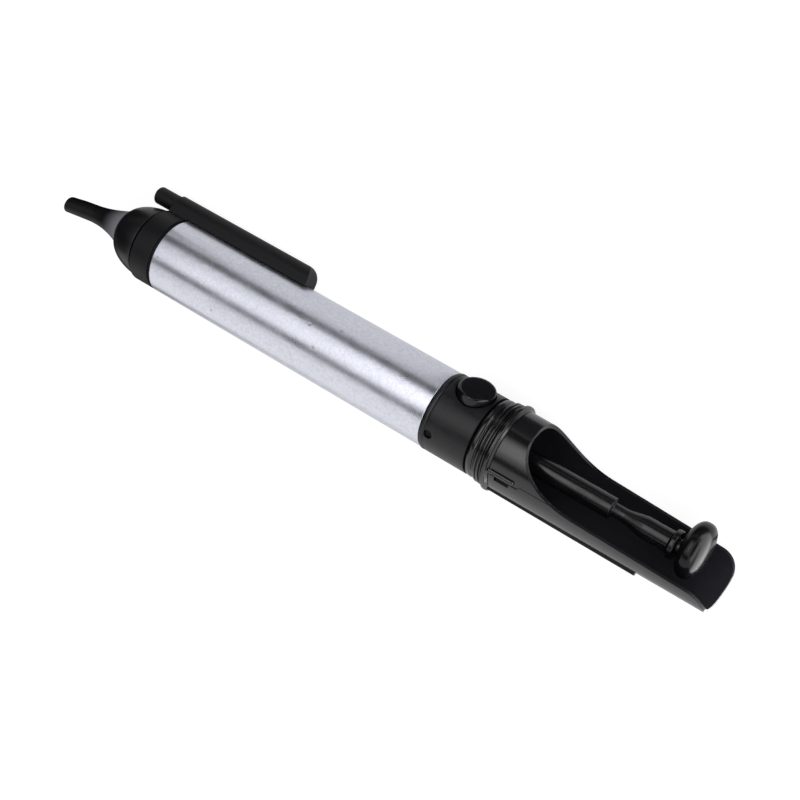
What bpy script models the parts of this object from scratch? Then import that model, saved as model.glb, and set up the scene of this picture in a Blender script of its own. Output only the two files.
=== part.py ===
"""A desoldering pump: a spring-driven hand pump with a trough-shaped guard round its plunger.

Stations run along the pump's axis from the barrel's front end back towards the guard, so the
nozzle lies at negative stations. In the pump's own frame the button looks along +Y and +Z is up.
The root empty turns the pump so that its nozzle points along +X and its button faces -Y, as it
lies on a table on its flange ring and its clip. It is drawn released, with its plunger out.
"""
import bmesh
import bpy
from math import asin, cos, degrees, pi, radians, sin
from mathutils import Matrix, Vector

MM = 0.001
GAP = 0.3 * MM                      # clearance between pieces that seat on each other
MERGE = 0.001 * MM

# Barrel: a drawn aluminium tube
BARREL_R = 10.0 * MM
BARREL_WALL = 0.9 * MM
BARREL_LENGTH = 84.9 * MM
BARREL_EDGE = 0.15 * MM

# Nose cap: a moulded dome whose plug fits the barrel, with a neck for the clip's collar
COLLAR_SPACE = 7.7 * MM
DOME_LENGTH = 9.0 * MM
DOME_DROP = 5.05 * MM               # fall of the dome's curve from its back edge to its front plane
DOME_STEP = 0.65 * MM               # the dome's back edge is this much smaller than the barrel
DOME_FULLNESS = 1.59                # how round the dome's curve is along and across the axis
DOME_ROUNDNESS = 2.06
DOME_STEPS = 8
MOUTH_STEP = 1.8 * MM               # the mouth is this much smaller than the nozzle's flange
MOUTH_DEPTH = 2.4 * MM
NECK_STEP = 1.6 * MM                # depth of the neck below the barrel's surface
PLUG_LENGTH = 8.0 * MM
CAP_WALL = 1.7 * MM                 # wall of the plug, from the barrel's bore inwards
SEAL_STATION = 4.1 * MM             # middle of the plug's seal

# Nozzle: a soft heat-resistant tip that leans a little to the side away from the clip
TIP_REACH = 36.5 * MM               # from the barrel's front end to the tip
TIP_R = 2.2 * MM
TIP_BORE_R = 1.1 * MM
TIP_ROUNDING = 0.5 * MM
FLARE_START = 28.5 * MM
FLARE_END = 19.0 * MM
FLARE_STEP = 0.5 * MM               # the flare ends this much smaller than the cap's mouth
NOZZLE_WALL = 1.3 * MM              # at the flare's wide end
NOZZLE_FLANGE_THICKNESS = 2.0 * MM
NOZZLE_LEAN = 2.0 * MM              # how far the tip hangs off the axis
NOZZLE_LEAN_POWER = 1.5

# Clip: a collar under the dome and a hollow arm that stores the cleaning pin
COLLAR_STEP = 0.05 * MM             # the collar is this much smaller than the barrel
COLLAR_GROOVE = 0.2 * MM
COLLAR_LIP = 1.1 * MM
CLIP_ANGLE = -40.5                  # degrees from the button towards the top
ARM_WIDTH = 5.8 * MM
ARM_HEIGHT = 4.8 * MM               # from the barrel's surface to the arm's crest
ARM_REACH = 37.9 * MM               # station of the arm's end, on its underside
ARM_SLANT = 2.6 * MM
WEB_END = 1.5 * MM                  # the web stops this far short of the barrel
GRIP_R = 2.35 * MM
GRIP_LENGTH = 5.9 * MM
GRIP_ROUNDING = 0.7 * MM
NEEDLE_R = 0.5 * MM
NEEDLE_REACH = 30.0 * MM
NEEDLE_IN_GRIP = 3.4 * MM

# Plunger: rod, piston with its seal and screw, stop collar and thumb knob
ROD_R = 2.7 * MM
ROD_TIP_R = 2.0 * MM                # the thin end that carries the collar and the knob
STROKE = 41.3 * MM                  # how far the rod goes in before its shoulder reaches the latch
LATCH_R = 1.7 * MM
LATCH_FLAT = 3.3 * MM
LATCH_RAMP = 5.0 * MM
ROD_GRIP_LENGTH = 15.2 * MM         # from the latch shoulder back to the stop collar
STOP_COLLAR_R = 3.65 * MM
STOP_COLLAR_THICKNESS = 1.5 * MM
KNOB_SPACING = 5.3 * MM             # from the stop collar's front to the knob's middle
KNOB_R = 7.1 * MM
KNOB_THICKNESS = 6.0 * MM
KNOB_FULLNESS = 2.5
KNOB_OFFSET = 1.15 * MM             # the knob sits off the rod's axis, towards the clip's side
KNOB_SOCKET = 3.6 * MM
PISTON_LENGTH = 8.5 * MM
PISTON_BOSS = 2.6 * MM
PISTON_SOCKET = 5.4 * MM
SCREW_HEAD_R = 2.4 * MM
SCREW_HEAD = 1.4 * MM
SCREW_R = 1.1 * MM
SCREW_LENGTH = 10.0 * MM
SEAL_WIRE = 1.5 * MM                # thickness of both O-rings
SPRING_WIRE = 0.9 * MM
SPRING_CLEARANCE = 0.7 * MM         # to the barrel outside it and to the piston's boss inside it
SPRING_TURNS = 9

# Rear end: guide, housing, locking pins and rubber bumper
HOUSING_LENGTH = 12.8 * MM
HOUSING_PROUD = 0.15 * MM           # the housing is this much larger than the barrel
HOUSING_WALL = 1.15 * MM
HOUSING_LIP = 1.2 * MM
GUIDE_SPIGOT = 7.7 * MM
GUIDE_TAIL = 7.3 * MM
BUMPER_THICKNESS = 1.5 * MM
BUMPER_WIDTH = 4.0 * MM
LOCK_SETBACK = 2.6 * MM             # from the barrel's rear end to the pins
LOCK_HOLE_R = 1.2 * MM
LOCK_DEPTH = 4.0 * MM
LOCK_RECESS = 0.5 * MM

# Trigger: button, latch plate and their spring
BUTTON_SETBACK = 7.6 * MM           # from the barrel's rear end to the button's middle
BUTTON_R = 4.65 * MM
BUTTON_PROUD = 1.6 * MM             # how far its crown stands out of the housing
BUTTON_CROWN = 0.45 * MM
BUTTON_ROUNDING = 0.5 * MM
BUTTON_CROWN_SLOPE = 25             # degrees at which the rounding meets the crown
BUTTON_HEIGHT = 5.45 * MM
BUTTON_TRAVEL = 1.5 * MM
LATCH_THICKNESS = 1.4 * MM
LATCH_WIDTH = 7.8 * MM
LATCH_FOOT = 2.0 * MM               # material under the plate's hole
LATCH_TONGUE_WIDTH = 5.0 * MM
LATCH_TONGUE = 1.7 * MM
TRIGGER_SPRING_WIRE = 0.4 * MM
TRIGGER_SPRING_R = 1.3 * MM
TRIGGER_SPRING_TURNS = 4

# Guard: a moulded sleeve, open along the button's side, with two ring beads; its lengths
# are counted from its own front end
GUARD_LENGTH = 64.0 * MM
GUARD_PROUD = 0.05 * MM             # the sleeve is this much larger than the housing
GUARD_TAPER = 0.3 * MM              # and this much smaller at its end than at its front
GUARD_WALL = 0.95 * MM
BEAD_SETBACK = 2.4 * MM
BEAD_HEIGHT = 0.4 * MM
BEAD_WIDTH = 2.4 * MM
FLANGE_SETBACK = 5.6 * MM
FLANGE_HEIGHT = 1.0 * MM
FLANGE_WIDTH = 3.0 * MM
RING_GROOVE = 0.15 * MM
CUT_SETBACK = 12.3 * MM             # to the front of the opening, on the button's side
CUT_SWEEP = 16.9 * MM               # length over which the opening comes down to the rims
CUT_STEEP = 3.6 * MM
CUT_EASE = 10.9 * MM
RIM_DROP = 0.95 * MM                # the rims lie this far beyond the axis, seen from the button
RIM_FALL = 1.0 * MM                 # and fall by this much towards the end
RIM_CORNER = 5.2 * MM
OPENING_TURN = 0.8                  # degrees: the sleeve is screwed on a little off the button
LONG_RIB_ANGLE = 139.5
LONG_RIB_LENGTH = 46.3 * MM
LONG_RIB_WIDTH = 1.2 * MM
LONG_RIB_HEIGHT = 0.55 * MM
SHORT_RIB_LENGTH = 7.4 * MM
SHORT_RIB_WIDTH = 1.6 * MM
SHORT_RIB_HEIGHT = 0.45 * MM
WINDOW_SETBACK = 8.4 * MM
WINDOW_LENGTH = 3.9 * MM
WINDOW_WIDTH = 0.9 * MM
WINDOW_DEPTH = 0.5 * MM
WINDOW_ANGLE = 97.5

# Facets of a full turn on large, middle and small round pieces, and round an O-ring's section
LARGE_STEPS = 40
MIDDLE_STEPS = 28
SMALL_STEPS = 20
SEAL_STEPS = 6

# Places that follow from the sizes above
DOME_BACK_R = BARREL_R - DOME_STEP
NECK_R = BARREL_R - NECK_STEP
COLLAR_R = BARREL_R - COLLAR_STEP
ARM_TOP_R = BARREL_R + ARM_HEIGHT
HOUSING_R = BARREL_R + HOUSING_PROUD
BUTTON_TOP = HOUSING_R + BUTTON_PROUD
GUARD_R = HOUSING_R + GUARD_PROUD
GUARD_END_R = GUARD_R - GUARD_TAPER
BEAD_R = GUARD_R + BEAD_HEIGHT
FLANGE_R = GUARD_R + FLANGE_HEIGHT
BORE_R = BARREL_R - BARREL_WALL
FIT_R = BORE_R - GAP                # what slides or plugs into the barrel
SHOULDER = -COLLAR_SPACE
CAP_FRONT = SHOULDER - DOME_LENGTH
PLUG_BORE_R = FIT_R - CAP_WALL
NOZZLE_FLANGE_R = PLUG_BORE_R - GAP
MOUTH_R = NOZZLE_FLANGE_R - MOUTH_STEP
FLARE_R = MOUTH_R - FLARE_STEP
NOZZLE_MOUTH_R = FLARE_R - NOZZLE_WALL
DOME_FRONT_R = DOME_BACK_R - DOME_DROP
PIN_AXIS_R = DOME_BACK_R + GAP + GRIP_R
HOUSING_FRONT = BARREL_LENGTH + GAP
HOUSING_BACK = HOUSING_FRONT + HOUSING_LENGTH
GUARD_FRONT = HOUSING_BACK + GAP
GUARD_END = GUARD_FRONT + GUARD_LENGTH
BEAD_STATION = GUARD_FRONT + BEAD_SETBACK
FLANGE_STATION = GUARD_FRONT + FLANGE_SETBACK
CUT_START = GUARD_FRONT + CUT_SETBACK
CUT_BELLY = CUT_START + CUT_SWEEP
LONG_RIB_END = GUARD_FRONT + LONG_RIB_LENGTH
WINDOW_START = GUARD_FRONT + WINDOW_SETBACK
LOCK_STATION = BARREL_LENGTH + LOCK_SETBACK
BUTTON_STATION = BARREL_LENGTH + BUTTON_SETBACK
LATCH_STATION = BUTTON_STATION - LATCH_THICKNESS / 2 + STROKE
STOP_COLLAR_STATION = LATCH_STATION + ROD_GRIP_LENGTH
KNOB_STATION = STOP_COLLAR_STATION + KNOB_SPACING
GUIDE_FRONT = BARREL_LENGTH - GUIDE_SPIGOT
GUIDE_BACK = GUARD_FRONT + GUIDE_TAIL
GUIDE_R = HOUSING_R - HOUSING_WALL - GAP
TAIL_R = GUARD_R - GUARD_WALL - GAP
ROD_BORE_R = ROD_R + GAP
BUMPER_FRONT = GUIDE_FRONT - GAP - BUMPER_THICKNESS
PISTON_BACK = BUMPER_FRONT - GAP
PISTON_FRONT = PISTON_BACK - PISTON_LENGTH
ROD_FRONT = PISTON_BACK - PISTON_SOCKET + GAP
ROD_SHOULDER = STOP_COLLAR_STATION - GAP
ROD_END = KNOB_STATION - KNOB_THICKNESS / 2 + KNOB_SOCKET - GAP
SEAL_R = SEAL_WIRE / 2
SEAL_GROOVE_R = FIT_R - SEAL_WIRE - GAP
SEAL_GROOVE = SEAL_WIRE / 2 + GAP   # half the width of a seal's groove
SPRING_R = BORE_R - SPRING_CLEARANCE - SPRING_WIRE / 2
PISTON_BOSS_R = SPRING_R - SPRING_WIRE / 2 - SPRING_CLEARANCE
BUTTON_BASE = BUTTON_TOP - BUTTON_HEIGHT
HOLE_RISE = BUTTON_TRAVEL + GAP / 3
PLATE_BASE = -ROD_BORE_R - LATCH_FOOT
PLATE_SHOULDER = BUTTON_BASE - GAP
POCKET_FLOOR = PLATE_BASE - BUTTON_TRAVEL - GAP
TILT = Matrix.Rotation(radians(CLIP_ANGLE), 4, "X")


def finish(name, colour, roughness, metallic=0.0):
    """A plain material in the piece's own colour."""
    material = bpy.data.materials.new(name)
    material.use_nodes = True
    shader = material.node_tree.nodes["Principled BSDF"]
    shader.inputs["Base Color"].default_value = (*colour, 1.0)
    shader.inputs["Roughness"].default_value = roughness
    shader.inputs["Metallic"].default_value = metallic
    return material


def frame(name, parent=None, location=(0.0, 0.0, 0.0), rotation=(0.0, 0.0, 0.0)):
    """An empty that carries pieces, placed on their own axis."""
    empty = bpy.data.objects.new(name, None)
    empty.empty_display_size = 0.01
    empty.parent = parent
    empty.location = location
    empty.rotation_euler = rotation
    bpy.context.scene.collection.objects.link(empty)
    return empty


def solid(name, bm, parent, material, sharp=35):
    """Turns a bmesh into a named object, smooth on its round faces."""
    bmesh.ops.remove_doubles(bm, verts=bm.verts, dist=MERGE)
    bmesh.ops.recalc_face_normals(bm, faces=bm.faces)
    mesh = bpy.data.meshes.new(name)
    bm.to_mesh(mesh)
    bm.free()
    mesh.shade_smooth()
    mesh.set_sharp_from_angle(angle=radians(sharp))
    piece = bpy.data.objects.new(name, mesh)
    piece.parent = parent
    if material:
        mesh.materials.append(material)
    bpy.context.scene.collection.objects.link(piece)
    return piece


def turned(name, outline, parent, material=None, segments=LARGE_STEPS, bend=None):
    """Spins an outline of (station, radius) points round X; an outline that ends on X is solid.

    It starts half a facet off the vertical, so that a facet, and no edge, meets the floor."""
    half = pi / segments
    bm = bmesh.new()
    corners = [bm.verts.new((x, r * sin(half), r * cos(half))) for x, r in outline]
    edges = [bm.edges.new(pair) for pair in zip(corners, corners[1:])]
    if outline[0][1] > 0:
        edges.append(bm.edges.new((corners[-1], corners[0])))
    bmesh.ops.spin(bm, geom=corners + edges, cent=(0, 0, 0), axis=(1, 0, 0), angle=2 * pi,
                   steps=segments)
    if bend:
        for vert in bm.verts:
            vert.co += bend(vert.co.x)
    return solid(name, bm, parent, material)


def extruded(name, outline, depth, parent, material=None):
    """A plate with an outline of (x, y) points, centred on its middle plane."""
    bm = bmesh.new()
    face = bm.faces.new([bm.verts.new((x, y, -depth / 2)) for x, y in outline])
    side = bmesh.ops.extrude_face_region(bm, geom=[face])
    moved = [item for item in side["geom"] if isinstance(item, bmesh.types.BMVert)]
    bmesh.ops.translate(bm, verts=moved, vec=(0, 0, depth))
    return solid(name, bm, parent, material)


def block(name, low, high, parent, material=None):
    """A box between two corners."""
    bm = bmesh.new()
    bmesh.ops.create_cube(bm, size=1.0)
    size = Vector(high) - Vector(low)
    bmesh.ops.scale(bm, verts=bm.verts, vec=size)
    bmesh.ops.translate(bm, verts=bm.verts, vec=Vector(low) + size / 2)
    return solid(name, bm, parent, material)


def coil(name, start, end, radius, wire, turns, parent, material, per_turn=10):
    """A helical spring along X between two flat seats, with a closed turn at each end."""
    first, last = start + wire / 2, end - wire / 2
    closed = wire * 1.08
    steps = int((turns + 2) * per_turn)
    points = []
    for i in range(steps + 1):
        turn = i / per_turn
        open_turn = min(max(turn - 1, 0), turns)
        x = first + closed * (min(turn, 1) + max(turn - 1 - turns, 0))
        x += (last - first - 2 * closed) * open_turn / turns
        points.append((x, radius * cos(2 * pi * turn), radius * sin(2 * pi * turn), 1.0))
    curve = bpy.data.curves.new(name, "CURVE")
    curve.dimensions = "3D"
    curve.bevel_depth = wire / 2
    curve.bevel_resolution = 1
    curve.use_fill_caps = True
    spline = curve.splines.new("POLY")
    spline.points.add(len(points) - 1)
    for point, place in zip(spline.points, points):
        point.co = place
    curve.materials.append(material)
    piece = bpy.data.objects.new(name, curve)
    piece.parent = parent
    bpy.context.scene.collection.objects.link(piece)
    return piece


def combine(piece, operation, tool):
    """Cuts a tool out of a piece, or joins it on, and keeps the tool as a hidden guide."""
    modifier = piece.modifiers.new(tool.name, "BOOLEAN")
    modifier.operation = operation
    modifier.solver = "EXACT"
    modifier.object = tool
    tool.hide_render = True
    tool.display_type = "WIRE"


def cylinder(start, end, radius):
    """Outline of a plain round bar on the axis."""
    return [(start, 0.0), (start, radius), (end, radius), (end, 0.0)]


def ring(start, end, inner, outer, edge=0.0):
    """Outline of a round ring, with its outer corners broken by an edge."""
    back = [(start, inner), (start, outer - edge)]
    if edge:
        back += [(start + edge, outer), (end - edge, outer)]
    return back + [(end, outer - edge), (end, inner)]


def arc(centre, radius, start, end, steps):
    """Points of a round stretch, from one angle to another in degrees."""
    angles = [radians(start + (end - start) * i / steps) for i in range(steps + 1)]
    return [(centre[0] + radius * cos(a), centre[1] + radius * sin(a)) for a in angles]


def bead(station, width, base, top, steps=6):
    """Outline of a rounded ring that stands on a tube."""
    fractions = [i / steps for i in range(steps + 1)]
    return [(station + width * (k - 0.5), base + (top - base) * sin(pi * k) ** 0.8) for k in fractions]


def oval(station, half_length, radius, fullness, start, end, steps):
    """Outline of a rounded body: an oval that is fuller than an ellipse as its fullness passes 2."""
    points = []
    for i in range(steps + 1):
        angle = radians(start + (end - start) * i / steps)
        along = abs(cos(angle)) ** (2 / fullness) * (1 if cos(angle) > 0 else -1)
        points.append((station + half_length * along, radius * abs(sin(angle)) ** (2 / fullness)))
    return points


def seal_outline(station):
    """The round section of an O-ring in its groove."""
    return arc((station, FIT_R - SEAL_R), SEAL_R, 0, 360 - 360 / SEAL_STEPS, SEAL_STEPS - 1)


def build_barrel(root):
    material = finish("satin_aluminium", (0.62, 0.63, 0.66), 0.32, 1.0)
    outline = ring(0.0, BARREL_LENGTH, BORE_R, BARREL_R, BARREL_EDGE)
    turned("barrel", outline, root, material)


def build_nose_cap(root, black):
    dome = []
    for i in range(DOME_STEPS + 1):
        angle = radians(90 - 90 * i / DOME_STEPS)
        forward = DOME_LENGTH * sin(angle) ** (2 / DOME_FULLNESS)
        r = DOME_FRONT_R + (DOME_BACK_R - DOME_FRONT_R) * cos(angle) ** (2 / DOME_ROUNDNESS)
        if r > MOUTH_R + GAP:
            dome.append((SHOULDER - forward, r))
    front = dome[0][0] - GAP
    groove = SEAL_STATION - SEAL_GROOVE, SEAL_STATION + SEAL_GROOVE
    outline = [(front, MOUTH_R + GAP / 2)] + dome
    outline += [(SHOULDER, NECK_R), (GAP / 2, NECK_R), (GAP / 2, FIT_R)]
    outline += [(groove[0], FIT_R), (groove[0], SEAL_GROOVE_R)]
    outline += [(groove[1], SEAL_GROOVE_R), (groove[1], FIT_R)]
    outline += [(PLUG_LENGTH, FIT_R), (PLUG_LENGTH, PLUG_BORE_R)]
    outline += [(front + MOUTH_DEPTH, PLUG_BORE_R), (front + MOUTH_DEPTH, MOUTH_R), (front, MOUTH_R)]
    turned("nose_cap", outline, root, black)
    rubber = finish("seal_rubber", (0.03, 0.03, 0.03), 0.7)
    turned("nose_seal", seal_outline(SEAL_STATION), root, rubber, SMALL_STEPS)
    return front + MOUTH_DEPTH


def build_nozzle(root, step):
    """The soft tip; its flange sits behind the step inside the cap's mouth."""
    material = finish("soft_black_tip", (0.03, 0.03, 0.032), 0.6)
    stem_r = MOUTH_R - GAP
    flange_front = step + GAP
    flange_back = flange_front + NOZZLE_FLANGE_THICKNESS
    outline = arc((-TIP_REACH + TIP_ROUNDING, TIP_R - TIP_ROUNDING), TIP_ROUNDING, 180, 90, 3)
    for i in range(8):
        k = i / 7
        r = TIP_R + (FLARE_R - TIP_R) * k ** 2
        outline.append((-FLARE_START + (FLARE_START - FLARE_END) * k, r))
    outline += [(-FLARE_END + (stem_r - FLARE_R) * 2, stem_r - GAP / 3), (CAP_FRONT, stem_r)]
    outline += [(flange_front, stem_r), (flange_front, NOZZLE_FLANGE_R), (flange_back, NOZZLE_FLANGE_R)]
    outline += [(flange_back, NOZZLE_MOUTH_R), (-FLARE_END, NOZZLE_MOUTH_R - GAP)]
    outline += [(-FLARE_START + GAP, TIP_BORE_R), (-TIP_REACH, TIP_BORE_R)]
    away = TILT @ Vector((0.0, -1.0, 0.0))
    reach = TIP_REACH + CAP_FRONT

    def lean(station):
        forward = max(CAP_FRONT - station, 0.0)
        return away * NOZZLE_LEAN * (forward / reach) ** NOZZLE_LEAN_POWER

    turned("nozzle", outline, root, material, MIDDLE_STEPS, lean)


def build_clip(root, black):
    """Collar, web and arm are one moulding; the arm is bored for the cleaning needle."""
    clip_frame = frame("clip_frame", root, rotation=(radians(CLIP_ANGLE), 0, 0))
    front, back = SHOULDER + GAP, -GAP
    groove = back - COLLAR_LIP
    low_r = COLLAR_R - COLLAR_GROOVE
    outline = [(front, NECK_R + GAP), (front, COLLAR_R)]
    outline += [(groove - COLLAR_GROOVE, COLLAR_R), (groove, low_r), (groove + COLLAR_GROOVE, COLLAR_R)]
    outline += [(back, COLLAR_R), (back, NECK_R + GAP)]
    collar = turned("clip", outline, clip_frame, black)
    half = ARM_WIDTH / 2
    bottom = BARREL_R + GAP
    # its underside follows the barrel
    wrap = degrees(asin(half / bottom))
    section = arc((ARM_TOP_R - half, 0.0), half, 90, -90, 10) + arc((0.0, 0.0), bottom, -wrap, wrap, 4)
    bm = bmesh.new()
    face = bm.faces.new([bm.verts.new((front, y, z)) for y, z in section])
    side = bmesh.ops.extrude_face_region(bm, geom=[face])
    for vert in side["geom"]:
        if isinstance(vert, bmesh.types.BMVert):
            height = (vert.co.y - bottom) / (ARM_TOP_R - bottom)
            vert.co.x = ARM_REACH - ARM_SLANT * height
    arm = solid("clip_arm_guide", bm, clip_frame, None)
    web = block("clip_web_guide", (front, NECK_R + 2 * GAP, -half), (-WEB_END, bottom + GAP, half),
                clip_frame)
    bore_r = NEEDLE_R + GAP
    pin_frame = frame("pin_axis", clip_frame, (0.0, PIN_AXIS_R, 0.0))
    bore = turned("needle_bore_guide", cylinder(SHOULDER, NEEDLE_REACH + GAP, bore_r), pin_frame,
                  None, SMALL_STEPS)
    combine(collar, "UNION", web)
    combine(collar, "UNION", arm)
    combine(collar, "DIFFERENCE", bore)
    grip_back = front - GAP
    grip_front = grip_back - GRIP_LENGTH
    grip = [(grip_front, 0.0)]
    grip += arc((grip_front + GRIP_ROUNDING, GRIP_R - GRIP_ROUNDING), GRIP_ROUNDING, 180, 90, 4)
    grip += [(grip_back, GRIP_R), (grip_back, bore_r)]
    grip += [(grip_back - NEEDLE_IN_GRIP, bore_r), (grip_back - NEEDLE_IN_GRIP, 0.0)]
    grip_black = finish("pin_grip_black", (0.02, 0.02, 0.022), 0.55)
    turned("cleaning_pin_grip", grip, pin_frame, grip_black, SMALL_STEPS)
    steel = finish("needle_steel", (0.55, 0.55, 0.56), 0.25, 1.0)
    needle_front = grip_back - NEEDLE_IN_GRIP + GAP
    needle = [(needle_front, 0.0), (needle_front, NEEDLE_R)]
    needle += [(NEEDLE_REACH - 3 * NEEDLE_R, NEEDLE_R), (NEEDLE_REACH, 0.0)]
    turned("cleaning_needle", needle, pin_frame, steel, 12)


def build_plunger(root, gloss):
    plunger = frame("plunger_axis", root)
    tap_r = SCREW_R + GAP
    web_front = PISTON_FRONT - PISTON_BOSS + SCREW_HEAD + 2 * GAP
    screw_end = PISTON_FRONT - PISTON_BOSS + GAP + SCREW_LENGTH
    ramp = []
    for i in range(1, 6):
        k = i / 5
        r = LATCH_R + (ROD_R - LATCH_R) * (1 - cos(pi * k)) / 2
        ramp.append((LATCH_STATION + LATCH_FLAT + LATCH_RAMP * k, r))
    rod = [(ROD_FRONT, tap_r), (ROD_FRONT, ROD_R), (LATCH_STATION - GAP, ROD_R), (LATCH_STATION, LATCH_R)]
    rod += [(LATCH_STATION + LATCH_FLAT, LATCH_R)] + ramp
    rod += [(ROD_SHOULDER, ROD_R), (ROD_SHOULDER, ROD_TIP_R), (ROD_END, ROD_TIP_R), (ROD_END, 0.0)]
    rod += [(screw_end + GAP, 0.0), (screw_end + GAP, tap_r)]
    rod = rod[-2:] + rod[:-2]
    turned("plunger_rod", rod, plunger, gloss, SMALL_STEPS)

    seal_station = PISTON_FRONT + PISTON_LENGTH / 2
    boss_front = PISTON_FRONT - PISTON_BOSS
    groove = seal_station - SEAL_GROOVE, seal_station + SEAL_GROOVE
    piston = [(boss_front, SCREW_HEAD_R + GAP), (boss_front, PISTON_BOSS_R), (PISTON_FRONT, PISTON_BOSS_R)]
    piston += [(PISTON_FRONT, FIT_R), (groove[0], FIT_R), (groove[0], SEAL_GROOVE_R)]
    piston += [(groove[1], SEAL_GROOVE_R), (groove[1], FIT_R)]
    piston += [(PISTON_BACK, FIT_R), (PISTON_BACK, ROD_BORE_R)]
    piston += [(PISTON_BACK - PISTON_SOCKET, ROD_BORE_R), (PISTON_BACK - PISTON_SOCKET, tap_r)]
    piston += [(web_front, tap_r), (web_front, SCREW_HEAD_R + GAP)]
    turned("piston", piston, plunger, finish("piston_nylon", (0.75, 0.74, 0.70), 0.45), MIDDLE_STEPS)
    rubber = finish("piston_seal_rubber", (0.03, 0.03, 0.03), 0.7)
    turned("piston_seal", seal_outline(seal_station), plunger, rubber, SMALL_STEPS)
    head_front = boss_front + GAP
    screw = [(head_front, 0.0), (head_front, SCREW_HEAD_R * 0.75)]
    screw += [(head_front + SCREW_HEAD * 0.4, SCREW_HEAD_R)]
    screw += [(head_front + SCREW_HEAD, SCREW_HEAD_R), (head_front + SCREW_HEAD, SCREW_R)]
    screw += [(screw_end, SCREW_R), (screw_end, 0.0)]
    steel = finish("zinc_plated_steel", (0.60, 0.60, 0.58), 0.3, 1.0)
    turned("piston_screw", screw, plunger, steel, SMALL_STEPS)

    collar = ring(STOP_COLLAR_STATION, STOP_COLLAR_STATION + STOP_COLLAR_THICKNESS, ROD_TIP_R + GAP,
                  STOP_COLLAR_R, GAP)
    turned("stop_collar", collar, plunger, finish("collar_black", (0.018, 0.018, 0.02), 0.3), SMALL_STEPS)
    knob_frame = frame("knob_frame", plunger, TILT @ Vector((0.0, KNOB_OFFSET, 0.0)))
    half = KNOB_THICKNESS / 2
    knob_outline = oval(KNOB_STATION, half, KNOB_R, KNOB_FULLNESS, 180, 0, 16)
    knob_outline[0] = (KNOB_STATION - half, 0.0)
    knob_outline[-1] = (KNOB_STATION + half, 0.0)
    knob_black = finish("knob_gloss_black", (0.015, 0.015, 0.017), 0.15)
    knob = turned("knob", knob_outline, knob_frame, knob_black, MIDDLE_STEPS)
    socket_end = KNOB_STATION - half + KNOB_SOCKET
    socket = cylinder(KNOB_STATION - half - GAP, socket_end, ROD_TIP_R + GAP)
    combine(knob, "DIFFERENCE", turned("knob_socket_guide", socket, plunger, None, SMALL_STEPS))

    steel = finish("spring_steel", (0.45, 0.45, 0.46), 0.3, 1.0)
    coil("main_spring", PLUG_LENGTH + GAP, PISTON_FRONT - GAP, SPRING_R, SPRING_WIRE, SPRING_TURNS,
         root, steel)


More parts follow.
